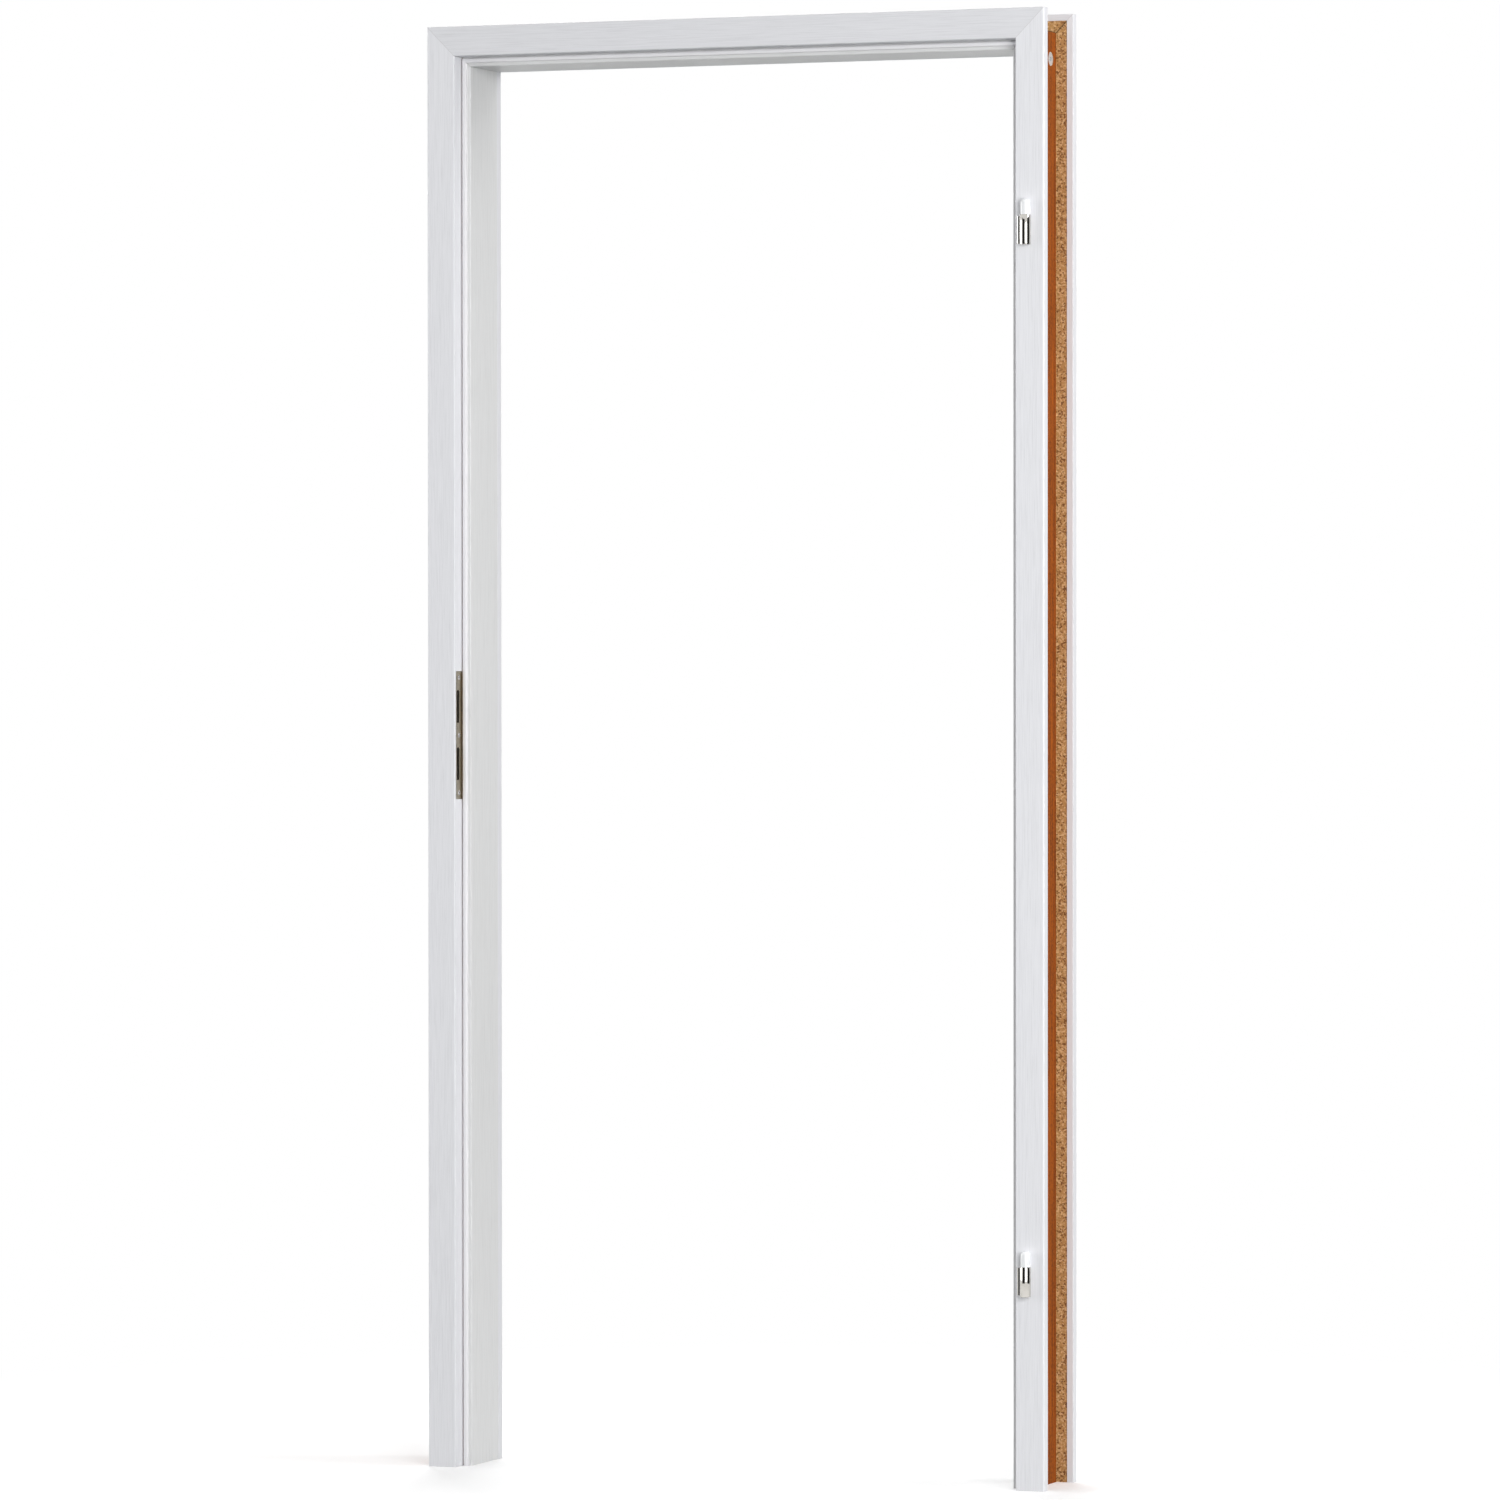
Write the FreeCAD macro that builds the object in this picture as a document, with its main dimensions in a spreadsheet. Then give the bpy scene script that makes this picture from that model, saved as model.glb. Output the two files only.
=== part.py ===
import FreeCAD, Part

import math
import os
from types import SimpleNamespace

import Sketcher

# Rebated wooden door lining for a single leaf hung on the right, standing as assembled before
# it goes into a wall. X runs across the opening from its centre line, Y runs from the rebate
# side (front) to the trim side (back), Z runs up from the floor. Each member is drawn with its
# depth measured from the face of the rebate casings, and every sub-part's Placement then moves
# it forward so that the origin is on the floor in the middle of the whole depth.

os.makedirs("parts", exist_ok=True)
doc = FreeCAD.newDocument("DoorFrame")
Vector = FreeCAD.Vector

# Driving dimensions in millimetres
DIMENSIONS = [
    # Opening and rebate
    ("leaf_width", 841),
    ("leaf_height", 1983),
    ("stop_width", 13),
    ("rebate_depth", 26),
    # Casings on the rebate side
    ("casing_face", 42),
    ("casing_thick", 15),
    ("casing_arris", 2.5),
    ("rebate_arris", 2),
    ("back_arris", 0.8),
    ("lip_width", 9),
    ("lip_relief", 1.5),
    # Lining boards
    ("lining_thick", 30),
    ("wall_thick", 100),
    ("stop_arris", 1.5),
    ("key_thick", 6),
    ("key_depth", 6),
    ("key_play", 0.1),
    # Trim casings and their tongues
    ("trim_thick", 15),
    ("trim_gap", 0.3),
    ("tongue_thick", 8),
    ("tongue_inset", 6),
    ("tongue_reach", 27),
    ("tongue_seat", 8),
    ("tongue_play", 0.2),
    ("tongue_spare", 2),
    ("tongue_bevel", 1),
    # Seal
    ("bulb_width", 6.5),
    ("bulb_height", 4.5),
    ("bulb_wall", 1),
    ("bulb_round", 2.2),
    ("bulb_gap", 1.5),
    ("root_thick", 1.6),
    ("root_depth", 5),
    ("barb_reach", 0.4),
    ("barb_rise", 1.6),
    ("root_play", 0.05),
    # Mitre connectors at the two lining corners
    ("cam_drop", 8),
    ("cam_front", 45),
    ("cam_back", 95),
    ("cam_diameter", 19.6),
    ("cam_height", 12),
    ("cam_sunk", 0.5),
    ("cam_play", 0.2),
    ("cam_cavity", 8),
    ("cam_slot", 5),
    ("cam_floor", 2),
    ("cam_key", 6),
    ("cam_key_depth", 3),
    ("cam_chamfer", 0.6),
    ("bolt_level", 7),
    ("bolt_diameter", 6),
    ("bolt_neck", 3.6),
    ("bolt_ball", 6),
    ("bolt_play", 0.2),
    ("mitre_margin", 2),
    # Dowels across the mitres
    ("dowel_place", 70),
    ("dowel_diameter", 8),
    ("dowel_length", 26),
    ("peg_diameter", 6),
    ("peg_length", 30),
    ("dowel_play", 0.1),
    ("dowel_chamfer", 0.8),
    # Hinge frame parts
    ("hinge_top", 241),
    ("hinge_low", 266),
    ("pin_out", 17.5),
    ("pin_proud", 8),
    ("barrel_diameter", 15),
    ("barrel_height", 41),
    ("barrel_floor", 4),
    ("barrel_chamfer", 0.6),
    ("pin_diameter", 7),
    ("pin_rise", 16),
    ("pin_play", 0.05),
    ("pin_chamfer", 0.8),
    ("leg_thick", 3),
    ("leg_height", 37),
    ("leg_setback", 3),
    ("leg_depth", 20),
    ("leg_bend", 0.5),
    ("leg_play", 0.2),
    # Plastic sleeves on the pins
    ("sleeve_diameter", 14),
    ("sleeve_height", 21),
    ("sleeve_dome", 5),
    ("sleeve_seat", 0.1),
    # Hinge receivers in the rebate side
    ("receiver_front", 4),
    ("receiver_depth", 13),
    ("receiver_width", 19),
    ("receiver_height", 50),
    ("receiver_corner", 3),
    ("receiver_play", 0.15),
    ("grub_diameter", 6),
    ("grub_socket", 3),
    ("grub_socket_depth", 1.5),
    ("grub_spacing", 24),
    ("grub_sunk", 0.3),
    # Strike plate
    ("strike_low", 940),
    ("strike_height", 180),
    ("strike_front", 4),
    ("strike_width", 21),
    ("strike_thick", 2),
    ("strike_corner", 2),
    ("strike_play", 0.1),
    ("strike_slot_front", 2.5),
    ("strike_slot_width", 8),
    ("strike_slot_corner", 1),
    ("strike_slot_end", 27),
    ("strike_bridge", 35),
    ("pocket_depth", 12),
    ("pocket_margin", 0.8),
    ("screw_end", 9),
    ("screw_head", 7),
    ("screw_shank", 3.5),
    ("screw_length", 14),
    ("screw_socket", 2.4),
    ("screw_socket_depth", 1.2),
    ("screw_play", 0.1),
]

sheet = doc.addObject("Spreadsheet::Sheet", "Sizes")
for row, (alias, number) in enumerate(DIMENSIONS, start=1):
    sheet.set(f"A{row}", alias)
    sheet.set(f"B{row}", str(number))
    sheet.setAlias(f"B{row}", alias)
doc.recompute()


class Size:
    """A length in millimetres that keeps the formula it was worked out with."""

    def __init__(self, value, formula):
        self.value = float(value)
        self.formula = formula

    def __add__(self, other):
        return Size(self.value + other.value, f"({self.formula} + {other.formula})")

    def __sub__(self, other):
        return Size(self.value - other.value, f"({self.formula} - {other.formula})")

    def __mul__(self, factor):
        return Size(self.value * factor, f"({self.formula} * {factor})")

    def __truediv__(self, factor):
        return Size(self.value / factor, f"({self.formula} / {factor})")

    def __neg__(self):
        return self * -1

    def on_slope(self):
        """The X or Z share of a length that runs square across a mitre."""
        return Size(self.value / math.sqrt(2), f"({self.formula} / sqrt(2))")


size = SimpleNamespace(**{alias: Size(getattr(sheet, alias), f"Sizes.{alias}") for alias, _ in DIMENSIONS})
ZERO = Size(0, "0")

# Lengths that several pieces share
rebate_x = size.leaf_width / 2
rebate_z = size.leaf_height
clear_x = rebate_x - size.stop_width
clear_z = rebate_z - size.stop_width
face_width = size.stop_width + size.casing_face
outer_x = clear_x + face_width
outer_z = clear_z + face_width
wall_x = clear_x + size.lining_thick
wall_z = clear_z + size.lining_thick
trim_front = size.casing_thick + size.wall_thick
lining_back = trim_front - size.trim_gap
total_depth = trim_front + size.trim_thick
hinge_reach = size.pin_proud + size.barrel_diameter / 2
origin_shift = (hinge_reach - total_depth) / 2

# Directions, as the turn that brings a piece's or a cutter's own Z axis onto them
TURN_UP = FreeCAD.Rotation()
TURN_X = {
    1: FreeCAD.Rotation(Vector(0, 1, 0), 90),
    -1: FreeCAD.Rotation(Vector(0, 1, 0), -90),
}
TURN_DOWN = FreeCAD.Rotation(Vector(1, 0, 0), 180)
TURN_MITRE = {
    1: FreeCAD.Rotation(Vector(0, 1, 0), 135),
    -1: FreeCAD.Rotation(Vector(0, 1, 0), -135),
}
TURN_LEG_CAM = {
    1: FreeCAD.Rotation(Vector(0, 0, 1), Vector(0, -1, 0), Vector(1, 0, 0)),
    -1: FreeCAD.Rotation(Vector(0, 0, 1), Vector(0, 1, 0), Vector(-1, 0, 0)),
}
TURN_HEAD_CAM = {
    1: FreeCAD.Rotation(),
    -1: FreeCAD.Rotation(Vector(-1, 0, 0), Vector(0, -1, 0), Vector(0, 0, 1)),
}
SIDES = {"left": -1, "right": 1}

bodies = []


def new_body(label, at=(ZERO, ZERO, ZERO), turn=TURN_UP):
    """A sub-part whose own origin lies at the given place of the frame."""
    body = doc.addObject("PartDesign::Body", label)
    body.Label = label
    body.Placement = FreeCAD.Placement(Vector(), turn)
    place(body, (at[0], at[1] + origin_shift, at[2]))
    bodies.append(body)
    return body


def place(thing, at):
    """Ties where a piece or a cutter stands to the sheet."""
    for axis, length in zip("xyz", at):
        thing.setExpression(f"Placement.Base.{axis}", length.formula)


def new_sketch(body, role, level=ZERO):
    """A sketch on one of the body's own origin planes, raised along the plane's normal."""
    sketch = body.newObject("Sketcher::SketchObject", f"{body.Label}_sketch")
    plane = next(item for item in body.Origin.OriginFeatures if item.Role == role)
    sketch.AttachmentSupport = [(plane, "")]
    sketch.MapMode = "FlatFace"
    sketch.setExpression("AttachmentOffset.Base.z", level.formula)
    return sketch


def pin_point(sketch, piece, end, point):
    """Ties one end of a sketch line to its two distances from the sketch's origin."""
    for kind, length in zip(("DistanceX", "DistanceY"), point):
        index = sketch.addConstraint(Sketcher.Constraint(kind, -1, 1, piece, end, length.value))
        sketch.setExpression(f"Constraints[{index}]", length.formula)


def draw_outline(sketch, points):
    """A closed outline of straight sides. A point is (x, y) or, where two sides square to each
    other meet in a rounding, (x, y, radius)."""
    count = len(points)
    sides = []
    for index in range(count):
        here = points[index]
        after = points[(index + 1) % count]
        start = leave_point(here, after)
        finish = leave_point(after, here)
        ends = [Vector(p[0].value, p[1].value, 0) for p in (start, finish)]
        line = sketch.addGeometry(Part.LineSegment(*ends), False)
        pin_point(sketch, line, 1, start)
        if len(after) == 3:
            pin_point(sketch, line, 2, finish)
        sides.append(line)
    for index in range(count):
        corner = points[(index + 1) % count]
        before, after = sides[index], sides[(index + 1) % count]
        if len(corner) == 2:
            sketch.addConstraint(Sketcher.Constraint("Coincident", before, 2, after, 1))
        else:
            round_corner(sketch, before, after, corner)


def leave_point(here, towards):
    """Where the side from one corner to another starts, past the first corner's rounding."""
    x, y = here[0], here[1]
    if len(here) == 2:
        return x, y
    across = towards[0].value - x.value
    along = towards[1].value - y.value
    if abs(across) > abs(along):
        return x + here[2] * math.copysign(1, across), y
    return x, y + here[2] * math.copysign(1, along)


def round_corner(sketch, before, after, corner):
    """The arc between two sides that are square to each other."""
    x, y, radius = corner
    start = sketch.Geometry[before].EndPoint
    finish = sketch.Geometry[after].StartPoint
    centre = start + finish - Vector(x.value, y.value, 0)
    turns_left = (start - centre).cross(finish - centre).z > 0
    first, last = (start, finish) if turns_left else (finish, start)
    angles = [math.atan2(p.y - centre.y, p.x - centre.x) for p in (first, last)]
    circle = Part.Circle(centre, Vector(0, 0, 1), radius.value)
    arc = sketch.addGeometry(Part.ArcOfCircle(circle, *angles), False)
    sketch.addConstraint(Sketcher.Constraint("Coincident", before, 2, arc, 1 if turns_left else 2))
    sketch.addConstraint(Sketcher.Constraint("Coincident", arc, 2 if turns_left else 1, after, 1))
    index = sketch.addConstraint(Sketcher.Constraint("Radius", arc, radius.value))
    sketch.setExpression(f"Constraints[{index}]", radius.formula)


def draw_circle(sketch, centre, diameter):
    """A full circle about a tied centre."""
    middle = Vector(centre[0].value, centre[1].value, 0)
    circle = sketch.addGeometry(Part.Circle(middle, Vector(0, 0, 1), diameter.value / 2), False)
    pin_point(sketch, circle, 3, centre)
    index = sketch.addConstraint(Sketcher.Constraint("Diameter", circle, diameter.value))
    sketch.setExpression(f"Constraints[{index}]", diameter.formula)


def rectangle(x0, y0, x1, y1, radius=None):
    """Corner points of a rectangle, rounded when a radius is given."""
    corners = [(x0, y0), (x1, y0), (x1, y1), (x0, y1)]
    return [corner + (radius,) for corner in corners] if radius else corners


def pad(body, sketch, length, middle=False):
    """Thickens a sketch along its normal, or evenly both ways."""
    feature = body.newObject("PartDesign::Pad", "Pad")
    feature.Profile = sketch
    feature.setExpression("Length", length.formula)
    feature.Midplane = middle
    return feature


def revolve(body, sketch):
    """Turns a sketch a full circle about its own upright axis."""
    feature = body.newObject("PartDesign::Revolution", "Turned")
    feature.Profile = sketch
    feature.ReferenceAxis = (sketch, ["V_Axis"])
    feature.Angle = 360
    return feature


def pocket(body, sketch, length, forward=False):
    """Cuts a sketch into the body against its normal, or along it when forward."""
    doc.recompute()
    before = body.Shape.Volume
    feature = body.newObject("PartDesign::Pocket", "Pocket")
    feature.Profile = sketch
    feature.setExpression("Length", length.formula)
    feature.Reversed = forward
    check_cut(body, before)
    return feature


def check_cut(body, before):
    """Stops the build when a cut has taken nothing away."""
    doc.recompute()
    if body.Shape.Volume >= before:
        raise RuntimeError(f"{body.Label}: {body.Tip.Name} cuts nothing")


def bore(body, diameter, depth, at, turn):
    """A round hole from a point along a direction."""
    doc.recompute()
    before = body.Shape.Volume
    cutter = body.newObject("PartDesign::SubtractiveCylinder", "Bore")
    cutter.setExpression("Radius", (diameter / 2).formula)
    cutter.setExpression("Height", depth.formula)
    cutter.Placement = FreeCAD.Placement(Vector(), turn)
    place(cutter, at)
    check_cut(body, before)


def mill(body, low, high):
    """A square-cornered recess between two corner points."""
    doc.recompute()
    before = body.Shape.Volume
    cutter = body.newObject("PartDesign::SubtractiveBox", "Recess")
    for name, start, end in zip(("Length", "Width", "Height"), low, high):
        cutter.setExpression(name, (end - start).formula)
    place(cutter, low)
    check_cut(body, before)


def edges_at(shape, test):
    """Names of the edges whose middle passes a test."""
    return [f"Edge{i}" for i, edge in enumerate(shape.Edges, start=1) if test(edge)]


def chamfer(body, test, length):
    """Breaks the circular edges that pass a test."""
    doc.recompute()
    base = body.Tip
    names = edges_at(base.Shape, lambda edge: isinstance(edge.Curve, Part.Circle) and test(edge))
    feature = body.newObject("PartDesign::Chamfer", "Chamfer")
    feature.Base = (base, names)
    feature.setExpression("Size", length.formula)
    return feature


# Sections of the members. A section is drawn once, as (out, back) points: how far out from the
# clear opening and how far back from the casings' face. The legs and the head all use it.

key_middle = (size.stop_width + size.lining_thick) / 2
key_low = key_middle - size.key_thick / 2
key_high = key_middle + size.key_thick / 2
root_middle = size.stop_width - size.bulb_gap - size.bulb_width / 2
groove_half = size.root_thick / 2 + size.barb_reach + size.root_play
tongue_low = size.tongue_inset
tongue_high = size.tongue_inset + size.tongue_thick
relief_out = face_width - size.lip_width
relief_back = size.casing_thick - size.lip_relief
relief_front = trim_front + size.lip_relief


def casing_section():
    """An L: the plate that covers the wall and the deep edge that lines the rebate. A key on
    the deep edge enters the lining board."""
    return [
        (size.stop_width, ZERO, size.rebate_arris),
        (face_width, ZERO, size.casing_arris),
        (face_width, size.casing_thick, size.back_arris),
        (relief_out, size.casing_thick),
        (relief_out, relief_back),
        (size.lining_thick, relief_back),
        (size.lining_thick, size.rebate_depth),
        (key_high, size.rebate_depth),
        (key_high, size.rebate_depth + size.key_depth),
        (key_low, size.rebate_depth + size.key_depth),
        (key_low, size.rebate_depth),
        (size.stop_width, size.rebate_depth),
    ]


def lining_section():
    """The board between the casings, with the stop and its seal groove in front, the groove
    for the casing's key beside it and the groove for the trim's tongue behind."""
    seal_floor = size.rebate_depth + size.root_depth + size.root_play
    key_floor = size.rebate_depth + size.key_depth + size.key_play
    tongue_floor = trim_front - size.tongue_reach - size.tongue_spare
    return [
        (ZERO, size.rebate_depth, size.stop_arris),
        (root_middle - groove_half, size.rebate_depth),
        (root_middle - groove_half, seal_floor),
        (root_middle + groove_half, seal_floor),
        (root_middle + groove_half, size.rebate_depth),
        (key_low - size.key_play, size.rebate_depth),
        (key_low - size.key_play, key_floor),
        (key_high + size.key_play, key_floor),
        (key_high + size.key_play, size.rebate_depth),
        (size.lining_thick, size.rebate_depth),
        (size.lining_thick, lining_back),
        (tongue_high + size.tongue_play, lining_back),
        (tongue_high + size.tongue_play, tongue_floor),
        (tongue_low - size.tongue_play, tongue_floor),
        (tongue_low - size.tongue_play, lining_back),
        (ZERO, lining_back),
    ]


def trim_section():
    """The plate that covers the back edge of the lining and of the wall, with the groove that
    holds its tongue."""
    seat = trim_front + size.tongue_seat
    return [
        (ZERO, trim_front, size.back_arris),
        (tongue_low, trim_front),
        (tongue_low, seat),
        (tongue_high, seat),
        (tongue_high, trim_front),
        (size.lining_thick, trim_front),
        (size.lining_thick, relief_front),
        (relief_out, relief_front),
        (relief_out, trim_front),
        (face_width, trim_front, size.back_arris),
        (face_width, total_depth, size.casing_arris),
        (ZERO, total_depth, size.casing_arris),
    ]


def tongue_section():
    """A loose strip glued into the trim, with its free edge bevelled."""
    nose = trim_front - size.tongue_reach
    return [
        (tongue_low + size.tongue_bevel, nose),
        (tongue_high - size.tongue_bevel, nose),
        (tongue_high, nose + size.tongue_bevel),
        (tongue_high, trim_front + size.tongue_seat),
        (tongue_low, trim_front + size.tongue_seat),
        (tongue_low, nose + size.tongue_bevel),
    ]


def seal_section():
    """A bulb that stands in front of the stop, on a barbed root."""
    low = root_middle - size.bulb_width / 2
    high = root_middle + size.bulb_width / 2
    crown = size.rebate_depth - size.bulb_height
    stem = size.root_thick / 2
    barb = stem + size.barb_reach
    barb_start = size.rebate_depth + size.root_depth - size.barb_rise
    return [
        (low, crown, size.bulb_round),
        (high, crown, size.bulb_round),
        (high, size.rebate_depth),
        (root_middle + stem, size.rebate_depth),
        (root_middle + stem, barb_start),
        (root_middle + barb, barb_start),
        (root_middle + stem, size.rebate_depth + size.root_depth),
        (root_middle - stem, size.rebate_depth + size.root_depth),
        (root_middle - barb, barb_start),
        (root_middle - stem, barb_start),
        (root_middle - stem, size.rebate_depth),
        (low, size.rebate_depth),
    ]


def seal_hollow():
    """The air chamber inside the bulb."""
    low = root_middle - size.bulb_width / 2 + size.bulb_wall
    high = root_middle + size.bulb_width / 2 - size.bulb_wall
    crown = size.rebate_depth - size.bulb_height + size.bulb_wall
    inner_round = size.bulb_round - size.bulb_wall
    return [
        (low, crown, inner_round),
        (high, crown, inner_round),
        (high, size.rebate_depth - size.bulb_wall),
        (low, size.rebate_depth - size.bulb_wall),
    ]


def leg_points(section, side):
    """A section laid out on the floor plane for the left or the right leg."""
    return [((clear_x + out) * side, back, *rest) for out, back, *rest in section]


def head_points(section):
    """The same section laid out across the head."""
    return [(back, clear_z + out, *rest) for out, back, *rest in section]


def cut_mitre(body, side, leg):
    """Cuts a member along the line from the inner to the outer corner."""
    doc.recompute()
    before = body.Shape.Volume
    inner = ((clear_x - size.mitre_margin) * side, clear_z - size.mitre_margin)
    outer = ((outer_x + size.mitre_margin) * side, outer_z + size.mitre_margin)
    waste = (inner[0], outer[1]) if leg else (outer[0], inner[1])
    sketch = new_sketch(body, "XZ_Plane")
    draw_outline(sketch, [inner, waste, outer])
    feature = body.newObject("PartDesign::Pocket", "Mitre")
    feature.Profile = sketch
    feature.Type = "ThroughAll"
    feature.Midplane = True
    check_cut(body, before)


def make_leg(label, sections, side):
    """A leg: its section carried up from the floor and mitred at the top."""
    body = new_body(label)
    sketch = new_sketch(body, "XY_Plane")
    for section in sections:
        draw_outline(sketch, leg_points(section, side))
    pad(body, sketch, outer_z)
    cut_mitre(body, side, leg=True)
    return body


def make_head(label, sections):
    """The head: its section carried across and mitred at both ends."""
    body = new_body(label)
    sketch = new_sketch(body, "YZ_Plane")
    for section in sections:
        draw_outline(sketch, head_points(section))
    pad(body, sketch, outer_x * 2, middle=True)
    for side in SIDES.values():
        cut_mitre(body, side, leg=False)
    return body


MEMBERS = {
    "rebate_casing": [casing_section()],
    "lining": [lining_section()],
    "trim_casing": [trim_section()],
    "tongue": [tongue_section()],
    "seal": [seal_section(), seal_hollow()],
}
member = {}
for name, sections in MEMBERS.items():
    for place_name, side in SIDES.items():
        member[name, place_name] = make_leg(f"{name}_{place_name}", sections, side)
    member[name, "head"] = make_head(f"{name}_head", sections)

# Mitre connectors. In each leg and in the head's end two cams lie in pockets of the wall face,
# and an elbow bolt runs from cam to cam round the corner.

arm = size.lining_thick - size.bolt_level + size.cam_drop
elbow_x = wall_x - size.bolt_level
elbow_z = wall_z - size.bolt_level
pocket_diameter = size.cam_diameter + size.cam_play * 2
pocket_deep = size.cam_sunk + size.cam_height
bolt_bore = size.bolt_diameter + size.bolt_play * 2
bolt_run = size.lining_thick * 2
cam_pitch = size.cam_back - size.cam_front


def pattern(body, features, axis_role, length, count):
    """Repeats features in a row along one of the body's own axes."""
    row = body.newObject("PartDesign::LinearPattern", "Row")
    row.Originals = features
    axis = next(item for item in body.Origin.OriginFeatures if item.Role == axis_role)
    row.Direction = (axis, [""])
    row.setExpression("Length", length.formula)
    row.Occurrences = count
    body.Tip = row
    doc.recompute()


def cam_pair(label, at, turn):
    """Two zinc cams. A cam's own Z axis points out of the wall face and its slot opens
    along its own X axis."""
    body = new_body(label, at, turn)
    body.AllowCompound = True
    disc = new_sketch(body, "XY_Plane", -pocket_deep)
    draw_circle(disc, (ZERO, ZERO), size.cam_diameter)
    features = [pad(body, disc, size.cam_height)]
    middle = size.cam_height.value / 2 - pocket_deep.value
    features.append(chamfer(body, lambda edge: edge.BoundBox.ZMin > middle, size.cam_chamfer))
    level = size.cam_floor - pocket_deep
    height = size.cam_height - size.cam_floor - size.cam_key_depth
    cavity = new_sketch(body, "XY_Plane", level)
    draw_circle(cavity, (ZERO, ZERO), size.cam_cavity)
    features.append(pocket(body, cavity, height, forward=True))
    channel = new_sketch(body, "XY_Plane", level)
    half = size.cam_slot / 2
    draw_outline(channel, rectangle(ZERO, -half, size.cam_diameter, half))
    features.append(pocket(body, channel, height, forward=True))
    socket = new_sketch(body, "XY_Plane", -size.cam_sunk)
    flat = size.cam_key / 2
    draw_outline(socket, rectangle(-flat, -flat, flat, flat, size.cam_chamfer))
    features.append(pocket(body, socket, size.cam_key_depth))
    pattern(body, features, "Y_Axis", cam_pitch, 2)


def add_round(body, kind, diameter, at, turn=TURN_UP, length=None):
    """Adds a round rod, or a ball, to a piece that is built up from them."""
    part = body.newObject(f"PartDesign::Additive{kind}", kind)
    part.setExpression("Radius", (diameter / 2).formula)
    if length:
        part.setExpression("Height", length.formula)
    part.Placement = FreeCAD.Placement(Vector(), turn)
    place(part, at)


def elbow_bolts(label, side):
    """Two elbow bolts: a rod down into the leg and one along the head, each ending in a neck
    and a ball that its cam draws in."""
    body = new_body(label, (elbow_x * side, size.cam_front, elbow_z))
    body.AllowCompound = True
    rod = arm - size.cam_diameter / 2 - size.bolt_play
    for back in (ZERO, cam_pitch):
        elbow = (ZERO, back, ZERO)
        add_round(body, "Sphere", size.bolt_diameter, elbow)
        for turn, tip in ((TURN_DOWN, (ZERO, back, -arm)), (TURN_X[-side], (arm * -side, back, ZERO))):
            add_round(body, "Cylinder", size.bolt_diameter, elbow, turn, rod)
            add_round(body, "Cylinder", size.bolt_neck, elbow, turn, arm)
            add_round(body, "Sphere", size.bolt_ball, tip)


def mitre_dowel(label, side, out, back, diameter, length, hosts):
    """A dowel square across a mitre, with its hole in the members on both sides."""
    half = (length / 2).on_slope()
    at = ((clear_x + out - half) * side, back, clear_z + out + half)
    spare = size.dowel_play.on_slope()
    start = ((clear_x + out - half - spare) * side, back, clear_z + out + half + spare)
    for host in hosts:
        bore(host, diameter + size.dowel_play * 2, length + size.dowel_play * 2, start, TURN_MITRE[side])
    body = new_body(label, at, TURN_MITRE[side])
    sketch = new_sketch(body, "XY_Plane")
    draw_circle(sketch, (ZERO, ZERO), diameter)
    pad(body, sketch, length)
    chamfer(body, lambda edge: True, size.dowel_chamfer)


for place_name, side in SIDES.items():
    leg = member["lining", place_name]
    head = member["lining", "head"]
    leg_cam_z = clear_z - size.cam_drop
    head_cam_x = (clear_x - size.cam_drop) * side
    for depth in (size.cam_front, size.cam_back):
        bore(leg, pocket_diameter, pocket_deep, (wall_x * side, depth, leg_cam_z), TURN_X[-side])
        bore(leg, bolt_bore, bolt_run, (elbow_x * side, depth, leg_cam_z), TURN_UP)
        bore(head, pocket_diameter, pocket_deep, (head_cam_x, depth, wall_z - pocket_deep), TURN_UP)
        bore(head, bolt_bore, bolt_run, (head_cam_x, depth, elbow_z), TURN_X[side])
    first, second = (size.cam_front, size.cam_back)[::side]
    cam_pair(f"leg_cams_{place_name}", (wall_x * side, second, leg_cam_z), TURN_LEG_CAM[side])
    cam_pair(f"head_cams_{place_name}", (head_cam_x, first, wall_z), TURN_HEAD_CAM[side])
    elbow_bolts(f"elbow_bolts_{place_name}", side)

    lining_middle = size.lining_thick / 2
    mitre_dowel(f"lining_dowel_{place_name}", side, lining_middle, size.dowel_place,
                size.dowel_diameter, size.dowel_length, (leg, head))
    plate_middle = (size.stop_width + face_width) / 2
    for name, back in (("rebate_casing", relief_back / 2), ("trim_casing", (relief_front + total_depth) / 2)):
        hosts = (member[name, place_name], member[name, "head"])
        mitre_dowel(f"{name}_dowel_{place_name}", side, plate_middle, back,
                    size.peg_diameter, size.peg_length, hosts)

# Hinge frame parts. Each hangs on the right leg: a barrel in front of the casing, a flat leg
# that runs from it to the rebate's arris and turns into a receiver let into the rebate side,
# a pin in the barrel and a sleeve over the pin. Each piece has its own origin on the pin's axis.

hinge_x = rebate_x + size.pin_out
leg_x = size.leg_setback - size.pin_out
leg_base = (size.barrel_height - size.leg_height) / 2
grub_hole = size.grub_diameter + size.pin_play * 2


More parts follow.
